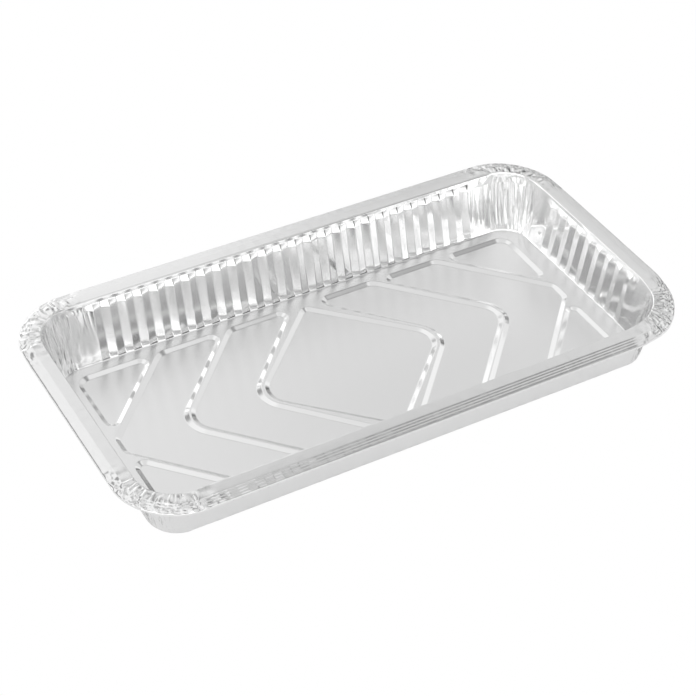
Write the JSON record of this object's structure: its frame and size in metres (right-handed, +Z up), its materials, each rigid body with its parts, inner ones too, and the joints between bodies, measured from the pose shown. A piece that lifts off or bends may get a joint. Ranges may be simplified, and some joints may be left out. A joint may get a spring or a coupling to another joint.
{
  "type": "foil tray",
  "caption": "Shallow rectangular foil tray with rounded corners, fluted sloping walls, a stepped flat rim and a floor stiffened by chevron ribs.",
  "frame": {"origin": "centre of the footprint, on the plane the tray stands on", "axes": "+X along the long side, +Y along the short side, +Z up out of the mouth"},
  "size_m": [0.325, 0.175, 0.0354],
  "materials": {
    "foil": "bright rolled foil"
  },
  "bodies": {
    "root": {"foil_tray": "foil"}
  },
  "joints": []
}
